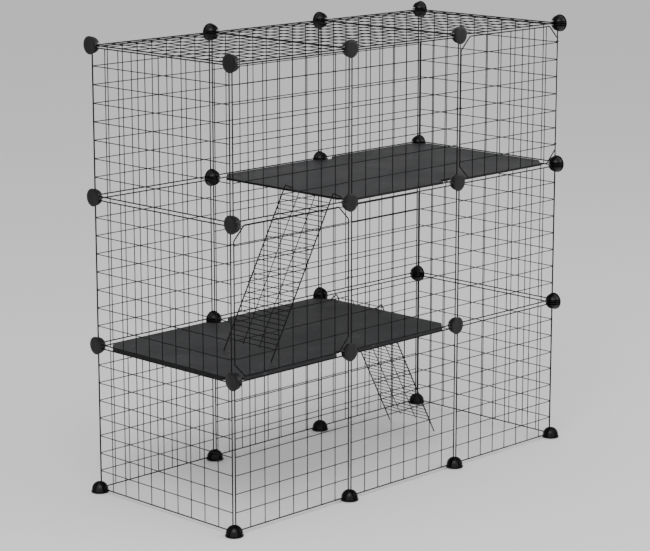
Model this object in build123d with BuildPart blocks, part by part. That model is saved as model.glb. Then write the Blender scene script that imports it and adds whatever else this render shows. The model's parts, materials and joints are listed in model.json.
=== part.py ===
"""Small animal cage of wire mesh panels: three cells wide, one deep, three storeys high.

The part's frame has +Z up, the front towards -Y, and its origin on the floor below the middle
of the cage. All sizes are in millimetres.
"""
from build123d import *
import math
import os

os.makedirs("parts", exist_ok=True)

# Grid of the cage: panels meet at its points, where the connectors sit
COLUMNS = 3
STOREYS = 3
CELL_WIDTH = 350.0
CELL_DEPTH = 440.0
CELL_HEIGHT = 333.0
FLOOR_GAP = 5.0

# Mesh panels: a frame of thick wire with thin wires welded across it
FRAME_WIRE = 2.8
MESH_WIRE = 2.0
WELD_BITE = 0.2
PANEL_GAP = 4.3
FRAME_BEND = 1.7
MESH_ACROSS_WIDTH = 8
MESH_ACROSS_DEPTH = 10
MESH_UP = 8

# Doors: panels with cut corners, a little smaller than the cell
DOOR_GAP = 5.3
DOOR_CORNER = 30.0
DOOR_BEND = 4.0

# Hinge rings and latches, of thin wire round the frame wires
CLIP_WIRE = 1.8
CLIP_CLEARANCE = 0.3
HINGE_MESH_ROWS = (1, 7)
LATCH_MESH_ROW = 4
LATCH_REACH = 12.3
LATCH_BEND = 2.0
LATCH_TIP = 2.6
LATCH_EYE_TURN = 230.0

# Connectors: a round plate with a domed block of ribs, slotted both ways for the frame wires
PLATE_RADIUS = 20.0
PLATE_INNER_FACE = 1.9
PLATE_RIM = 1.9
PLATE_FLAT_RADIUS = 13.0
DOME_RADIUS = 19.3
DOME_FOOT_RADIUS = 18.2
SLOT_WIDTH = 3.1

# Deck boards: fluted plastic sheet with cut corners and a notch on each long side
BOARD_LENGTH = 686.0
BOARD_DEPTH = 420.0
BOARD_THICKNESS = 5.3
BOARD_SKIN = 0.8
BOARD_WEB = 1.2
FLUTES = 73
BOARD_BELOW_LEVEL = 2.85
BOARD_CORNER = 33.0
NOTCH_MOUTH = 68.0
NOTCH_FLOOR = 44.0
NOTCH_DEPTH = 21.0
LOWER_BOARD_LEFT = -525.0
LOWER_BOARD_FRONT = -220.0
UPPER_BOARD_RIGHT = 524.0
UPPER_BOARD_BACK = 219.5

# Ramps: two thick side wires bent into hooks, two thin inner wires and many rungs
RAMP_WIRE = 2.8
RUNG_WIRE = 1.8
RAMP_WIDTH = 148.0
RAMP_INNER_SPACING = 50.0
RAMP_BEND = 3.0
RUNG_COUNT = 33
RUNG_PITCH = 11.0
FIRST_RUNG = 12.0
INNER_OVERHANG = 4.0
TIP_CLEARANCE = 1.0
HOOK_CLEARANCE = 0.3
LOWER_RAMP_PEAK_X = 170.0
LOWER_RAMP_PEAK_RISE = 13.0
LOWER_RAMP_FOOT_X = 360.0
LOWER_RAMP_HOOK_X = 152.0
LOWER_RAMP_CENTRE_Y = 85.0
UPPER_RAMP_PEAK_X = -178.0
UPPER_RAMP_PEAK_RISE = 14.0
UPPER_RAMP_FOOT_X = -368.0
UPPER_RAMP_HOOK_X = -155.0
UPPER_RAMP_CENTRE_Y = -97.0

half_width = COLUMNS * CELL_WIDTH / 2
half_depth = CELL_DEPTH / 2
mesh_offset = MESH_WIRE / 2 - WELD_BITE / 2
levels = [FLOOR_GAP + CELL_HEIGHT * storey for storey in range(STOREYS + 1)]
grid_x = [-half_width + CELL_WIDTH * column for column in range(COLUMNS + 1)]
column_centres = [-half_width + CELL_WIDTH * (column + 0.5) for column in range(COLUMNS)]
storey_names = ("bottom", "middle", "top")
column_names = ("left", "centre", "right")


def save(piece, name):
    """Label a finished piece and write it under its node's name."""
    piece.label = name
    export_step(piece, f"parts/{name}.step", write_pcurves=False)


def frame_outline(width, height, corner):
    """Corner points of a panel's frame, with the corners cut off when corner is over zero."""
    x, y = width / 2, height / 2
    if corner == 0:
        return [(-x, -y), (x, -y), (x, y), (-x, y)]
    return [
        (-x + corner, -y), (x - corner, -y), (x, -y + corner), (x, y - corner),
        (x - corner, y), (-x + corner, y), (-x, y - corner), (-x, -y + corner),
    ]


def mesh_panel(width, height, cells_across, cells_up, corner=0.0, bend=FRAME_BEND):
    """Welded panel about the origin in the XY plane, with its outer side towards +Z."""
    with BuildPart() as panel:
        with BuildLine() as loop:
            FilletPolyline(*frame_outline(width, height, corner), radius=bend, close=True)
        with BuildSketch(Plane(origin=loop.line @ 0, z_dir=loop.line % 0)):
            Circle(FRAME_WIRE / 2)
        sweep()
        with Locations((0, 0, mesh_offset)):
            with GridLocations(width / cells_across, 0, cells_across - 1, 1):
                Cylinder(MESH_WIRE / 2, height, rotation=(90, 0, 0))
        with Locations((0, 0, -mesh_offset)):
            with GridLocations(0, height / cells_up, 1, cells_up - 1):
                Cylinder(MESH_WIRE / 2, width, rotation=(0, 90, 0))
    return panel.part


def place_panel(panel, plane, name):
    """Set a copy of a panel in its wall and save it."""
    with BuildPart() as placed:
        with Locations(plane):
            add(panel)
    save(placed.part, name)


# The four kinds of panel
front_size = CELL_WIDTH - 2 * PANEL_GAP
side_size = CELL_DEPTH - 2 * PANEL_GAP
upright_size = CELL_HEIGHT - 2 * PANEL_GAP
front_panel = mesh_panel(front_size, upright_size, MESH_ACROSS_WIDTH, MESH_UP)
side_panel = mesh_panel(side_size, upright_size, MESH_ACROSS_DEPTH, MESH_UP)
roof_panel = mesh_panel(front_size, side_size, MESH_ACROSS_WIDTH, MESH_ACROSS_DEPTH)
door_width = CELL_WIDTH - 2 * DOOR_GAP
door_height = CELL_HEIGHT - 2 * DOOR_GAP
door_panel = mesh_panel(door_width, door_height, MESH_ACROSS_WIDTH, MESH_UP, DOOR_CORNER, DOOR_BEND)

# Front and back walls; two cells of the front hold the doors
doors = {("middle", "left"): "left_door", ("top", "right"): "right_door"}
for storey, storey_name in enumerate(storey_names):
    middle_z = levels[storey] + CELL_HEIGHT / 2
    for column, column_name in enumerate(column_names):
        middle_x = column_centres[column]
        front = Plane(origin=(middle_x, -half_depth, middle_z), x_dir=(1, 0, 0), z_dir=(0, -1, 0))
        back = Plane(origin=(middle_x, half_depth, middle_z), x_dir=(-1, 0, 0), z_dir=(0, 1, 0))
        if (storey_name, column_name) in doors:
            place_panel(door_panel, front, doors[(storey_name, column_name)])
        else:
            place_panel(front_panel, front, f"front_panel_{storey_name}_{column_name}")
        place_panel(front_panel, back, f"back_panel_{storey_name}_{column_name}")

# Side walls
for storey, storey_name in enumerate(storey_names):
    middle_z = levels[storey] + CELL_HEIGHT / 2
    left = Plane(origin=(-half_width, 0, middle_z), x_dir=(0, -1, 0), z_dir=(-1, 0, 0))
    right = Plane(origin=(half_width, 0, middle_z), x_dir=(0, 1, 0), z_dir=(1, 0, 0))
    place_panel(side_panel, left, f"left_panel_{storey_name}")
    place_panel(side_panel, right, f"right_panel_{storey_name}")

# Roof
for column, column_name in enumerate(column_names):
    roof = Plane(origin=(column_centres[column], 0, levels[-1]), x_dir=(1, 0, 0), z_dir=(0, 0, 1))
    place_panel(roof_panel, roof, f"roof_panel_{column_name}")

# One connector at the origin, with its ribs towards +Z and its grid point at the origin
with BuildPart() as connector:
    with BuildSketch(Plane.XZ):
        with BuildLine():
            Line((0, -FLOOR_GAP), (PLATE_FLAT_RADIUS, -FLOOR_GAP))
            ThreePointArc(
                (PLATE_FLAT_RADIUS, -FLOOR_GAP),
                (PLATE_RADIUS - 2.2, -FLOOR_GAP + 0.5),
                (PLATE_RADIUS, -PLATE_INNER_FACE - PLATE_RIM),
            )
            Line((PLATE_RADIUS, -PLATE_INNER_FACE - PLATE_RIM), (PLATE_RADIUS, -PLATE_INNER_FACE))
            Line((PLATE_RADIUS, -PLATE_INNER_FACE), (DOME_FOOT_RADIUS, -PLATE_INNER_FACE))
            ThreePointArc(
                (DOME_FOOT_RADIUS, -PLATE_INNER_FACE),
                (DOME_RADIUS * math.cos(math.pi / 6), DOME_RADIUS * math.sin(math.pi / 6)),
                (0, DOME_RADIUS),
            )
            Line((0, DOME_RADIUS), (0, -FLOOR_GAP))
        make_face()
    revolve(axis=Axis.Z)
    slot_places = [(step * PANEL_GAP, 0, -PLATE_INNER_FACE) for step in (-1, 0, 1)]
    slot_depth = DOME_RADIUS + PLATE_INNER_FACE + 1
    for turn in (0, 90):
        with Locations(Rotation(0, 0, turn)):
            with Locations(*slot_places):
                Box(
                    SLOT_WIDTH, 3 * PLATE_RADIUS, slot_depth,
                    align=(Align.CENTER, Align.CENTER, Align.MIN), mode=Mode.SUBTRACT,
                )

# Connectors: ribs up on the floor, ribs into the cage on the walls
corner_planes = []
middle_planes = []
for side_y, inward_y in ((-half_depth, 1), (half_depth, -1)):
    for x in (grid_x[0], grid_x[-1]):
        inward_x = 1 if x < 0 else -1
        corner_planes.append((x, side_y, (0, 1, 0), (inward_x, 0, 0)))
    for x in grid_x[1:-1]:
        middle_planes.append((x, side_y, (1, 0, 0), (0, inward_y, 0)))

with BuildPart() as floor_connectors:
    with Locations(*[(x, y, levels[0]) for x in grid_x for y in (-half_depth, half_depth)]):
        add(connector.part)
save(floor_connectors.part, "floor_connectors")

level_names = ("lower_deck", "upper_deck", "roof")
for level, level_name in zip(levels[1:], level_names):
    for kind, places in (("corner", corner_planes), ("side", middle_planes)):
        planes = [Plane(origin=(x, y, level), x_dir=along, z_dir=inward)
                  for x, y, along, inward in places]
        with BuildPart() as level_connectors:
            with Locations(*planes):
                add(connector.part)
        save(level_connectors.part, f"{level_name}_{kind}_connectors")

# One deck board with its front left lower corner at the origin, its flutes along X
with BuildPart() as board:
    section = Plane(origin=(0, BOARD_DEPTH / 2, BOARD_THICKNESS / 2), x_dir=(0, 1, 0), z_dir=(1, 0, 0))
    with BuildSketch(section):
        Rectangle(BOARD_DEPTH, BOARD_THICKNESS)
        flute_pitch = BOARD_DEPTH / FLUTES
        with GridLocations(flute_pitch, 0, FLUTES, 1):
            Rectangle(flute_pitch - BOARD_WEB, BOARD_THICKNESS - 2 * BOARD_SKIN, mode=Mode.SUBTRACT)
    extrude(amount=BOARD_LENGTH)
    with BuildSketch(Plane.XY):
        for x, y, turn in ((0, 0, 0), (BOARD_LENGTH, 0, 90),
                           (BOARD_LENGTH, BOARD_DEPTH, 180), (0, BOARD_DEPTH, 270)):
            with Locations(Location((x, y, 0), (0, 0, turn))):
                Polygon((-1, -1), (BOARD_CORNER + 1, -1), (-1, BOARD_CORNER + 1), align=None)
        mouth, floor = NOTCH_MOUTH / 2, NOTCH_FLOOR / 2
        for y, turn in ((0, 0), (BOARD_DEPTH, 180)):
            with Locations(Location((BOARD_LENGTH / 2, y, 0), (0, 0, turn))):
                Polygon((-mouth, -1), (mouth, -1), (mouth, 0), (floor, NOTCH_DEPTH),
                        (-floor, NOTCH_DEPTH), (-mouth, 0), align=None)
    extrude(amount=BOARD_THICKNESS, mode=Mode.SUBTRACT)

lower_board_z = levels[1] - BOARD_BELOW_LEVEL
with BuildPart() as lower_deck_board:
    with Locations((LOWER_BOARD_LEFT, LOWER_BOARD_FRONT, lower_board_z)):
        add(board.part)
save(lower_deck_board.part, "lower_deck_board")

upper_board_z = levels[2] - BOARD_BELOW_LEVEL
with BuildPart() as upper_deck_board:
    with Locations((UPPER_BOARD_RIGHT - BOARD_LENGTH, UPPER_BOARD_BACK - BOARD_DEPTH, upper_board_z)):
        add(board.part)
save(upper_deck_board.part, "upper_deck_board")


def wire_ramp(hook, peak, foot, centre_y):
    """Ramp whose side wires run from the hook's end over its peak to the foot, in (x, z)."""
    run, drop = foot[0] - peak[0], peak[1] - foot[1]
    length = math.hypot(run, drop)
    slope = Plane(
        origin=(peak[0], centre_y, peak[1]),
        x_dir=(run / length, 0, -drop / length),
        z_dir=(math.copysign(drop, run) / length, 0, abs(run) / length),
    )
    rung_height = RAMP_WIRE / 2 + RUNG_WIRE / 2 - WELD_BITE
    inner_height = rung_height - RUNG_WIRE + WELD_BITE
    rung_span = (RUNG_COUNT - 1) * RUNG_PITCH
    rung_middle = FIRST_RUNG + rung_span / 2
    with BuildPart() as ramp:
        for side in (-1, 1):
            with BuildLine(Plane.XZ.offset(-centre_y - side * RAMP_WIDTH / 2)) as rail:
                FilletPolyline(hook, peak, foot, radius=RAMP_BEND)
            with BuildSketch(Plane(origin=rail.line @ 0, z_dir=rail.line % 0)):
                Circle(RAMP_WIRE / 2)
            sweep()
        with Locations(slope):
            with Locations((rung_middle, 0, inner_height)):
                with GridLocations(0, RAMP_INNER_SPACING, 1, 2):
                    Cylinder(RUNG_WIRE / 2, rung_span + 2 * INNER_OVERHANG, rotation=(0, 90, 0))
            with Locations((rung_middle, 0, rung_height)):
                with GridLocations(RUNG_PITCH, 0, RUNG_COUNT, 1):
                    Cylinder(RUNG_WIRE / 2, RAMP_WIDTH + RUNG_WIRE, rotation=(90, 0, 0))
    return ramp.part


hook_above_board = RAMP_WIRE / 2 + HOOK_CLEARANCE
lower_board_top = lower_board_z + BOARD_THICKNESS
upper_board_top = upper_board_z + BOARD_THICKNESS
lower_ramp = wire_ramp(
    hook=(LOWER_RAMP_HOOK_X, lower_board_top + hook_above_board),
    peak=(LOWER_RAMP_PEAK_X, levels[1] + LOWER_RAMP_PEAK_RISE),
    foot=(LOWER_RAMP_FOOT_X, TIP_CLEARANCE),
    centre_y=LOWER_RAMP_CENTRE_Y,
)
save(lower_ramp, "lower_ramp")
upper_ramp = wire_ramp(
    hook=(UPPER_RAMP_HOOK_X, upper_board_top + hook_above_board),
    peak=(UPPER_RAMP_PEAK_X, levels[2] + UPPER_RAMP_PEAK_RISE),
    foot=(UPPER_RAMP_FOOT_X, lower_board_top + TIP_CLEARANCE),
    centre_y=UPPER_RAMP_CENTRE_Y,
)
save(upper_ramp, "upper_ramp")

# Hinge rings, each round a door's outer edge wire and the side wall's front wire
clip_radius = FRAME_WIRE / 2 + CLIP_CLEARANCE + CLIP_WIRE / 2
clip_lift = MESH_WIRE / 2 + CLIP_CLEARANCE + CLIP_WIRE / 2
with BuildPart() as door_ring:
    ring_gap = math.hypot(DOOR_GAP, PANEL_GAP)
    with BuildLine() as ring_path:
        FilletPolyline(
            (-ring_gap / 2 - clip_radius, -clip_radius), (ring_gap / 2 + clip_radius, -clip_radius),
            (ring_gap / 2 + clip_radius, clip_radius), (-ring_gap / 2 - clip_radius, clip_radius),
            radius=clip_radius - CLIP_CLEARANCE / 2, close=True,
        )
    with BuildSketch(Plane(origin=ring_path.line @ 0, z_dir=ring_path.line % 0)):
        Circle(CLIP_WIRE / 2)
    sweep()

for name, side, level in (("left_door", -1, levels[1]), ("right_door", 1, levels[2])):
    ring_planes = []
    for row in HINGE_MESH_ROWS:
        door_row = DOOR_GAP + door_height / MESH_UP * row
        wall_row = PANEL_GAP + upright_size / MESH_UP * row
        ring_z = level + max(door_row, wall_row) + clip_lift
        ring_planes.append(Plane(
            origin=(side * (half_width - DOOR_GAP / 2), -half_depth + PANEL_GAP / 2, ring_z),
            x_dir=(side * DOOR_GAP, PANEL_GAP, 0),
            z_dir=(0, 0, 1),
        ))
    with BuildPart() as rings:
        with Locations(*ring_planes):
            add(door_ring.part)
    save(rings.part, f"{name}_hinge_rings")

# Latches, each an eye round a door's free edge wire with an arm that hooks behind the next wire
with BuildPart() as door_latch:
    with BuildLine() as latch_path:
        FilletPolyline(
            (LATCH_REACH, LATCH_TIP), (LATCH_REACH, -clip_radius), (0, -clip_radius),
            radius=LATCH_BEND,
        )
        CenterArc((0, 0), clip_radius, start_angle=-90, arc_size=-LATCH_EYE_TURN)
    with BuildSketch(Plane(origin=latch_path.line @ 0, z_dir=latch_path.line % 0)):
        Circle(CLIP_WIRE / 2)
    sweep()

for name, side, level in (("left_door", 1, levels[1]), ("right_door", -1, levels[2])):
    edge_x = side * (-half_width + CELL_WIDTH - DOOR_GAP)
    latch_z = level + DOOR_GAP + door_height / MESH_UP * LATCH_MESH_ROW + clip_lift
    with BuildPart() as latch:
        add(door_latch.part if side > 0 else door_latch.part.mirror(Plane.YZ))
    latch.part.position = (edge_x, -half_depth, latch_z)
    save(latch.part, f"{name}_latch")
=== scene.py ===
"""Looks of the small animal cage: paint, plastics, weld beads, floor, light and camera."""

import json
import math

import bpy
from bpy.props import FloatProperty, FloatVectorProperty, IntProperty, PointerProperty
from bpy.types import Operator, Panel, PropertyGroup
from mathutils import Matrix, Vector


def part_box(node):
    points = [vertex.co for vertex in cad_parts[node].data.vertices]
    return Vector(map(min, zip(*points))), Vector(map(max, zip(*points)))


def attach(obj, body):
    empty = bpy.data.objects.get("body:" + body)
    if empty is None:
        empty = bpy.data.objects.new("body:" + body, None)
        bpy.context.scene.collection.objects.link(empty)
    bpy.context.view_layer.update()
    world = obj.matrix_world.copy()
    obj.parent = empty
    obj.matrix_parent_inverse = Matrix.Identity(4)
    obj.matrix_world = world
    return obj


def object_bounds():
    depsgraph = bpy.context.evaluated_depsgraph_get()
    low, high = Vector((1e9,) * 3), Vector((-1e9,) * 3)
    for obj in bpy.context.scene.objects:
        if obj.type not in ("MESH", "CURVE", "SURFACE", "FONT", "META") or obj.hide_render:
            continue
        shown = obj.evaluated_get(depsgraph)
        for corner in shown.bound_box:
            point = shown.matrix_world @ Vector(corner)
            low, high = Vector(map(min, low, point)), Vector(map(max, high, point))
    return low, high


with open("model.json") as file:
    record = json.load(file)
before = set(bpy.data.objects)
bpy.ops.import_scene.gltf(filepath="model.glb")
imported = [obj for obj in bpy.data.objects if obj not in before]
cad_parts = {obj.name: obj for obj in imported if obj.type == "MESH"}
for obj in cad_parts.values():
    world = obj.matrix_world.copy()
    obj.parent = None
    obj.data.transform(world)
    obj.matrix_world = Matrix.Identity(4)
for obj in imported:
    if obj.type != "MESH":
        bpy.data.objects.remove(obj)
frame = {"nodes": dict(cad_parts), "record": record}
cad_low, cad_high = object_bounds()

bl_info = {
    "name": "Small animal cage",
    "version": (1, 0, 0),
    "blender": (4, 5, 0),
    "location": "View3D > Sidebar > Cage",
    "description": "Finishes, weld beads and studio of a modular wire cage",
    "category": "Object",
}

NODES = frame["nodes"]
SLOT_OF = {part["node"]: part["material_slot"] for part in frame["record"]["subparts"]}
BODY_OF = {
    node: body
    for body, members in frame["record"]["behaviour"]["bodies"].items()
    for node in members
}
DOORS = ("left_door", "right_door")
MESH_NODES = sorted(name for name in NODES if "_panel_" in name or name in DOORS)

# The flutes of a deck board lie side by side across its depth
BOARD_DEPTH = 0.42
FLUTES = 73

# The depth of the cage runs along Y, where a panel has its longer row of mesh gaps
DEPTH_AXIS = 1
QUARTER_TURN = math.pi / 2
# How a flat grid is turned to face along X, Y or Z
TURN_TO_FACE = (
    (QUARTER_TURN, 0, QUARTER_TURN),
    (QUARTER_TURN, 0, 0),
    (0, 0, 0),
)
BEAD_SMOOTH_ANGLE = math.radians(80)

# A band wave of scale 1 runs through this many radians in a metre
WAVE_RADIANS = 20
SENSOR_WIDTH_MM = 36

# Low specular levels, which keep the dark finishes dark where they are seen at a grazing angle
COAT_SPECULAR = 0.08
CONNECTOR_SPECULAR = 0.22
BOARD_SPECULAR = 0.05


def colour(name, description, default):
    """Colour property with an alpha."""
    return FloatVectorProperty(
        name=name, description=description, default=default, subtype="COLOR", size=4, min=0, max=1
    )


def length(name, description, default):
    """Length property in metres."""
    return FloatProperty(
        name=name, description=description, default=default, subtype="DISTANCE", unit="LENGTH", min=0
    )


def share(name, description, default):
    """Share from nought to one."""
    return FloatProperty(
        name=name, description=description, default=default, subtype="FACTOR", min=0, max=1
    )


def count(name, description, default):
    """Whole number of like things, two or more."""
    return IntProperty(name=name, description=description, default=default, min=2)


def light_strength(name, description, default):
    """Strength of a light, nought or more."""
    return FloatProperty(name=name, description=description, default=default, min=0)


def place(name, description, default):
    """Place in the frame, in metres."""
    return FloatVectorProperty(
        name=name, description=description, default=default, subtype="TRANSLATION", unit="LENGTH"
    )


def angle(name, description, degrees):
    """Angle property, given in degrees."""
    return FloatProperty(
        name=name, description=description, default=math.radians(degrees),
        subtype="ANGLE", unit="ROTATION",
    )


class CageFinishSettings(PropertyGroup):
    """Colours and roughness of the paints and plastics"""

    wire_dark: colour(
        "Wire paint, dark", "Black powder coat in its darkest places", (0.003, 0.003, 0.003, 1)
    )
    wire_light: colour(
        "Wire paint, light", "Black powder coat where it is thin", (0.008, 0.008, 0.008, 1)
    )
    wire_roughness: share("Wire roughness", "Roughness of the powder coat", 0.42)
    clip_dark: colour("Clip paint, dark", "Paint of the latches and rings", (0.008, 0.008, 0.009, 1))
    clip_light: colour(
        "Clip paint, light", "Paint of the clips where they rub", (0.035, 0.035, 0.036, 1)
    )
    connector_dark: colour(
        "Connector, dark", "Moulded plastic in its darkest places", (0.004, 0.004, 0.004, 1)
    )
    connector_light: colour(
        "Connector, light", "Moulded plastic where it is scuffed", (0.012, 0.012, 0.012, 1)
    )
    connector_roughness: share("Connector roughness", "Roughness of the moulded plastic", 0.34)
    board_dark: colour(
        "Board, dark", "Deck board over the webs of its flutes", (0.020, 0.0205, 0.022, 1)
    )
    board_light: colour("Board, light", "Deck board between the webs", (0.038, 0.039, 0.042, 1))
    board_scuff: colour("Board, scuffs", "Pale scratches on the deck boards", (0.11, 0.11, 0.115, 1))
    board_roughness: share("Board roughness", "Roughness of the deck boards", 0.46)
    flute_pitch: length(
        "Flute pitch", "Distance between the webs inside the boards", BOARD_DEPTH / FLUTES
    )


class CageWeldSettings(PropertyGroup):
    """Mesh gaps of the panels and sizes of the weld beads"""

    cells_short: count("Cells, short side", "Mesh gaps across the width or the height of a cell", 8)
    cells_long: count("Cells, long side", "Mesh gaps along the depth of the cage", 10)
    frame_wire: length("Frame wire", "Diameter of the frame wire of the panels", 0.0028)
    bead_width: length("Bead width", "Width of a weld bead where two thin wires cross", 0.0027)
    bead_height: length("Bead height", "Height of a weld bead across the panel", 0.0020)


class CageStageSettings(PropertyGroup):
    """Floor, light and camera"""

    camera_place: place("Camera place", "Where the camera stands", (-3.749, -3.678, 1.6035))
    azimuth: angle("Azimuth", "Turn of the view about the upright", -45.317)
    elevation: angle("Elevation", "Tilt of the view down onto the cage", 12.404)
    lens: FloatProperty(
        name="Lens", description="Focal length in millimetres", default=129.83, min=1, unit="CAMERA"
    )
    floor_size: length("Floor size", "Side of the square floor", 80.0)
    floor_drop: length(
        "Floor drop", "Gap that keeps the floor off the lower faces of the connectors", 0.0002
    )
    floor_colour: colour("Floor", "Pale studio floor", (0.88, 0.88, 0.88, 1))
    sky_colour: colour("Room", "Pale light from all round", (1.0, 1.0, 1.0, 1))
    sky_strength: light_strength("Room light", "Strength of the light from all round", 0.72)
    key_place: place("Key place", "Where the lamp on the upper left hangs", (-2.6, -2.0, 3.4))
    key_size: length("Key size", "Side of the lamp on the upper left", 2.6)
    key_power: light_strength("Key light", "Watts of the lamp on the upper left", 130.0)
    fill_place: place("Fill place", "Where the lamp on the right hangs", (2.8, -2.6, 2.2))
    fill_size: length("Fill size", "Side of the lamp on the right", 3.0)
    fill_power: light_strength("Fill light", "Watts of the lamp on the right", 60.0)


class NodeMaterial:
    """A procedural material under construction, with its Principled shader."""

    def __init__(self, name):
        self.material = bpy.data.materials.new(name)
        self.material.use_nodes = True
        self.nodes = self.material.node_tree.nodes
        self.links = self.material.node_tree.links
        self.shader = self.nodes["Principled BSDF"]
        self.place = self.nodes.new("ShaderNodeTexCoord").outputs["Object"]

    def set(self, **values):
        """Set sockets of the shader, each named with underscores for its spaces."""
        for socket, value in values.items():
            self.shader.inputs[socket.replace("_", " ")].default_value = value

    def stretched(self, scale):
        """Object coordinates stretched by a scale along each axis."""
        mapping = self.nodes.new("ShaderNodeMapping")
        mapping.inputs["Scale"].default_value = scale
        self.links.new(self.place, mapping.inputs["Vector"])
        return mapping.outputs["Vector"]

    def noise(self, scale, detail=3.0, vector=None):
        """Noise with about that many patches to a metre."""
        texture = self.nodes.new("ShaderNodeTexNoise")
        texture.inputs["Scale"].default_value = scale
        texture.inputs["Detail"].default_value = detail
        self.links.new(vector or self.place, texture.inputs["Vector"])
        return texture.outputs["Fac"]

    def bands_along_x(self, pitch):
        """Soft bands that run along X, a pitch apart."""
        bands = self.nodes.new("ShaderNodeTexWave")
        bands.wave_type = "BANDS"
        bands.bands_direction = "Y"
        bands.inputs["Scale"].default_value = 2 * math.pi / (WAVE_RADIANS * pitch)
        self.links.new(self.place, bands.inputs["Vector"])
        return bands.outputs["Fac"]

    def ramp(self, factor, low, high, first, last):
        """Colours from first to last as the factor goes from low to high."""
        ramp = self.nodes.new("ShaderNodeValToRGB")
        ramp.color_ramp.elements[0].position = low
        ramp.color_ramp.elements[0].color = first
        ramp.color_ramp.elements[1].position = high
        ramp.color_ramp.elements[1].color = last
        self.links.new(factor, ramp.inputs["Fac"])
        return ramp.outputs["Color"]

    def spread(self, factor, low, high):
        """The factor, moved from nought and one to two other values."""
        spread = self.nodes.new("ShaderNodeMapRange")
        spread.inputs["To Min"].default_value = low
        spread.inputs["To Max"].default_value = high
        self.links.new(factor, spread.inputs["Value"])
        return spread.outputs["Result"]

    def tinted(self, factor, pattern, tint):
        """A coloured pattern that turns to one tint as the factor goes to one."""
        mix = self.nodes.new("ShaderNodeMix")
        mix.data_type = "RGBA"
        self.links.new(factor, mix.inputs["Factor"])
        self.links.new(pattern, mix.inputs["A"])
        mix.inputs["B"].default_value = tint
        return mix.outputs["Result"]

    def bump(self, height, strength, distance, below=None):
        """Relief from a height pattern, on top of another relief if one is given."""
        bump = self.nodes.new("ShaderNodeBump")
        bump.inputs["Strength"].default_value = strength
        bump.inputs["Distance"].default_value = distance
        self.links.new(height, bump.inputs["Height"])
        if below is not None:
            self.links.new(below, bump.inputs["Normal"])
        return bump.outputs["Normal"]

    def finish(self, roughness, normal, base=None):
        """Link the patterns to the shader; without a base its own colour stays."""
        if base is not None:
            self.links.new(base, self.shader.inputs["Base Color"])
        self.links.new(roughness, self.shader.inputs["Roughness"])
        self.links.new(normal, self.shader.inputs["Normal"])
        return self.material


def powder_coat(name, dark, light, roughness):
    """Black powder coat: fine orange peel, thinner in patches."""
    coat = NodeMaterial(name)
    patches = coat.noise(scale=60, detail=4)
    peel = coat.noise(scale=1400, detail=2)
    base = coat.ramp(patches, low=0.35, high=0.7, first=dark, last=light)
    rough = coat.spread(patches, low=roughness - 0.06, high=roughness + 0.08)
    relief = coat.bump(peel, strength=0.25, distance=0.0002)
    coat.set(Specular_IOR_Level=COAT_SPECULAR)
    return coat.finish(rough, relief, base)


def moulded_plastic(name, dark, light, roughness):
    """Moulded black plastic: fine grain, faint flow marks and scuffs."""
    plastic = NodeMaterial(name)
    along_the_flow = plastic.stretched((1, 1, 0.35))
    flow = plastic.noise(scale=45, detail=5, vector=along_the_flow)
    grain = plastic.noise(scale=2200, detail=2)
    base = plastic.ramp(flow, low=0.42, high=0.72, first=dark, last=light)
    rough = plastic.spread(flow, low=roughness - 0.08, high=roughness + 0.12)
    relief = plastic.bump(grain, strength=0.3, distance=0.00015)
    plastic.set(Specular_IOR_Level=CONNECTOR_SPECULAR)
    return plastic.finish(rough, relief, base)


def fluted_sheet(name, settings):
    """Dark extruded sheet: the webs show faintly along X, with scuffs and pale scratches."""
    black = (0, 0, 0, 1)
    white = (1, 1, 1, 1)
    sheet = NodeMaterial(name)
    bands = sheet.bands_along_x(settings.flute_pitch)
    cloud = sheet.noise(scale=9, detail=5)
    along_the_flutes = sheet.stretched((0.3, 1.6, 1))
    scratches = sheet.noise(scale=110, detail=8, vector=along_the_flutes)
    grain = sheet.noise(scale=900, detail=3)
    webs = sheet.ramp(
        bands, low=0.1, high=0.9, first=settings.board_dark, last=settings.board_light
    )
    mottled = sheet.tinted(sheet.spread(cloud, low=0.0, high=0.5), webs, settings.board_dark)
    marks = sheet.ramp(scratches, low=0.63, high=0.74, first=black, last=white)
    base = sheet.tinted(sheet.spread(marks, low=0.0, high=0.8), mottled, settings.board_scuff)
    rough = sheet.spread(
        cloud, low=settings.board_roughness - 0.1, high=settings.board_roughness + 0.12
    )
    ribs = sheet.bump(bands, strength=0.35, distance=0.0003)
    relief = sheet.bump(grain, strength=0.15, distance=0.0002, below=ribs)
    sheet.set(Specular_IOR_Level=BOARD_SPECULAR)
    return sheet.finish(rough, relief, base)


def studio_paper(name, colour_of_paper):
    """Pale matt paper for the floor, with the faintest relief."""
    paper = NodeMaterial(name)
    rough = paper.spread(paper.noise(scale=5), low=0.7, high=0.8)
    relief = paper.bump(paper.noise(scale=200), strength=0.02, distance=0.0005)
    paper.set(Base_Color=colour_of_paper)
    return paper.finish(rough, relief)


def cover(slot, material):
    """Give every CAD node of a slot its finish."""
    covered = [name for name in NODES if SLOT_OF[name] == slot]
    if not covered:
        raise RuntimeError(f"no node has the slot {slot}")
    for name in covered:
        mesh = NODES[name].data
        for index in range(len(mesh.materials)):
            mesh.materials[index] = material
        if not mesh.materials:
            mesh.materials.append(material)


class CAGE_OT_wire_finish(Operator):
    """Paint the panels, the doors and the ramps with black powder coat"""

    bl_idname = "cage.wire_finish"
    bl_label = "Wire finish"

    def execute(self, context):
        finish = context.scene.cage_finish
        for slot in ("panel_wire", "door_wire", "ramp_wire"):
            coat = powder_coat(slot, finish.wire_dark, finish.wire_light, finish.wire_roughness)
            cover(slot, coat)
        return {"FINISHED"}


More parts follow.
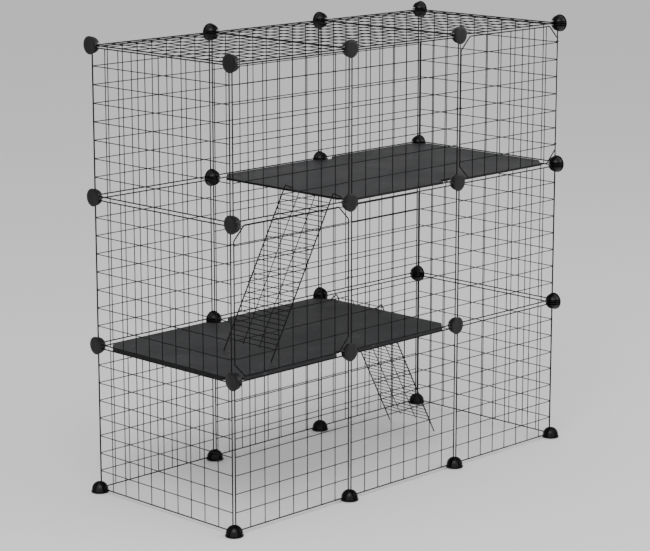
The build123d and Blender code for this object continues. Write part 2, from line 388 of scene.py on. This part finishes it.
class CAGE_OT_clip_finish(Operator):
    """Paint the hinge rings and the latches"""

    bl_idname = "cage.clip_finish"
    bl_label = "Clip finish"

    def execute(self, context):
        finish = context.scene.cage_finish
        slot = "clip_wire"
        cover(slot, powder_coat(slot, finish.clip_dark, finish.clip_light, finish.wire_roughness))
        return {"FINISHED"}


class CAGE_OT_connector_finish(Operator):
    """Give the connectors their moulded plastic"""

    bl_idname = "cage.connector_finish"
    bl_label = "Connector finish"

    def execute(self, context):
        finish = context.scene.cage_finish
        slot = "connector_plastic"
        plastic = moulded_plastic(
            slot, finish.connector_dark, finish.connector_light, finish.connector_roughness
        )
        cover(slot, plastic)
        return {"FINISHED"}


class CAGE_OT_board_finish(Operator):
    """Give the deck boards their fluted plastic"""

    bl_idname = "cage.board_finish"
    bl_label = "Board finish"

    def execute(self, context):
        slot = "board_plastic"
        cover(slot, fluted_sheet(slot, context.scene.cage_finish))
        return {"FINISHED"}


def deselect_all():
    """Leave nothing selected, so that the next operator acts on its own piece alone."""
    bpy.ops.object.select_all(action="DESELECT")


def weld_grid(name, size, cells, welds):
    """Weld beads at the inner crossings of a mesh, in the XY plane about the origin."""
    steps = (size[0] / cells[0], size[1] / cells[1])
    first_crossing = (-size[0] / 2 + steps[0], -size[1] / 2 + steps[1], 0)
    deselect_all()
    bpy.ops.mesh.primitive_ico_sphere_add(
        subdivisions=1, radius=welds.bead_width / 2, location=first_crossing
    )
    grid = bpy.context.object
    grid.name = name
    bpy.ops.object.mode_set(mode="EDIT")
    bpy.ops.mesh.select_all(action="SELECT")
    bpy.ops.transform.resize(value=(1, 1, welds.bead_height / welds.bead_width))
    bpy.ops.object.mode_set(mode="OBJECT")
    for axis, step in enumerate(steps):
        bpy.ops.object.modifier_add(type="ARRAY")
        row = grid.modifiers[-1]
        row.count = cells[axis] - 1
        row.use_relative_offset = False
        row.use_constant_offset = True
        row.constant_offset_displace = [step if i == axis else 0 for i in range(3)]
        bpy.ops.object.modifier_apply(modifier=row.name)
    bpy.ops.object.transform_apply(location=True, rotation=True, scale=True)
    bpy.ops.object.shade_smooth_by_angle(angle=BEAD_SMOOTH_ANGLE)
    return grid


class CAGE_OT_weld_beads(Operator):
    """Put a weld bead on every crossing of thin wires in every panel and door"""

    bl_idname = "cage.weld_beads"
    bl_label = "Weld beads"

    def execute(self, context):
        welds = context.scene.cage_welds
        for node in MESH_NODES:
            low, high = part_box(node)
            extent = high - low
            facing = list(extent).index(min(extent))
            in_plane = [axis for axis in range(3) if axis != facing]
            size = [extent[axis] - welds.frame_wire for axis in in_plane]
            cells = [
                welds.cells_long if axis == DEPTH_AXIS else welds.cells_short for axis in in_plane
            ]
            grid = weld_grid(f"{node}_welds", size, cells, welds)
            grid.rotation_euler = TURN_TO_FACE[facing]
            grid.location = (low + high) / 2
            bpy.ops.object.transform_apply(location=True, rotation=True, scale=True)
            grid.data.materials.append(NODES[node].data.materials[0])
            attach(grid, BODY_OF[node])
        return {"FINISHED"}


def area_light(name, hung_at, target, size, power):
    """A large soft square lamp, aimed at a point."""
    deselect_all()
    bpy.ops.object.light_add(type="AREA", location=hung_at)
    lamp = bpy.context.object
    lamp.name = name
    lamp.data.shape = "SQUARE"
    lamp.data.size = size
    lamp.data.energy = power
    aim = Vector(target) - Vector(hung_at)
    lamp.rotation_euler = aim.to_track_quat("-Z", "Y").to_euler()


class CAGE_OT_studio(Operator):
    """Lay the pale floor, hang the lamps and stand the camera"""

    bl_idname = "cage.studio"
    bl_label = "Studio"

    def execute(self, context):
        stage = context.scene.cage_stage
        deselect_all()
        bpy.ops.mesh.primitive_plane_add(size=stage.floor_size, location=(0, 0, -stage.floor_drop))
        floor = context.object
        floor.name = "studio_floor"
        floor.data.materials.append(studio_paper("studio_paper", stage.floor_colour))

        middle = (cad_low + cad_high) / 2
        area_light("key_lamp", stage.key_place, middle, stage.key_size, stage.key_power)
        area_light("fill_lamp", stage.fill_place, middle, stage.fill_size, stage.fill_power)

        world = bpy.data.worlds.new("studio_room")
        context.scene.world = world
        world.use_nodes = True
        room = world.node_tree.nodes["Background"]
        room.inputs["Color"].default_value = stage.sky_colour
        room.inputs["Strength"].default_value = stage.sky_strength

        deselect_all()
        bpy.ops.object.camera_add(location=stage.camera_place)
        camera = context.object
        camera.name = "studio_camera"
        camera.data.sensor_width = SENSOR_WIDTH_MM
        camera.data.lens = stage.lens
        back = Vector((
            math.sin(stage.azimuth) * math.cos(stage.elevation),
            -math.cos(stage.azimuth) * math.cos(stage.elevation),
            math.sin(stage.elevation),
        ))
        camera.rotation_euler = (-back).to_track_quat("-Z", "Y").to_euler()
        context.scene.camera = camera
        return {"FINISHED"}


SETTINGS = (CageFinishSettings, CageWeldSettings, CageStageSettings)
STEPS = (
    CAGE_OT_wire_finish,
    CAGE_OT_clip_finish,
    CAGE_OT_connector_finish,
    CAGE_OT_board_finish,
    CAGE_OT_weld_beads,
    CAGE_OT_studio,
)


class CAGE_PT_sidebar(Panel):
    """The cage's settings and steps"""

    bl_idname = "CAGE_PT_sidebar"
    bl_label = "Cage"
    bl_space_type = "VIEW_3D"
    bl_region_type = "UI"
    bl_category = "Cage"

    def draw(self, context):
        scene = context.scene
        for group in (scene.cage_finish, scene.cage_welds, scene.cage_stage):
            box = self.layout.box()
            for name in type(group).__annotations__:
                box.prop(group, name)
        for step in STEPS:
            self.layout.operator(step.bl_idname)


def register():
    for made in (*SETTINGS, *STEPS, CAGE_PT_sidebar):
        bpy.utils.register_class(made)
    bpy.types.Scene.cage_finish = PointerProperty(type=CageFinishSettings)
    bpy.types.Scene.cage_welds = PointerProperty(type=CageWeldSettings)
    bpy.types.Scene.cage_stage = PointerProperty(type=CageStageSettings)


def unregister():
    del bpy.types.Scene.cage_stage
    del bpy.types.Scene.cage_welds
    del bpy.types.Scene.cage_finish
    for made in reversed((*SETTINGS, *STEPS, CAGE_PT_sidebar)):
        bpy.utils.unregister_class(made)


def main():
    register()
    bpy.ops.cage.wire_finish()
    bpy.ops.cage.clip_finish()
    bpy.ops.cage.connector_finish()
    bpy.ops.cage.board_finish()
    bpy.ops.cage.weld_beads()
    bpy.ops.cage.studio()


if __name__ == "__main__":
    main()
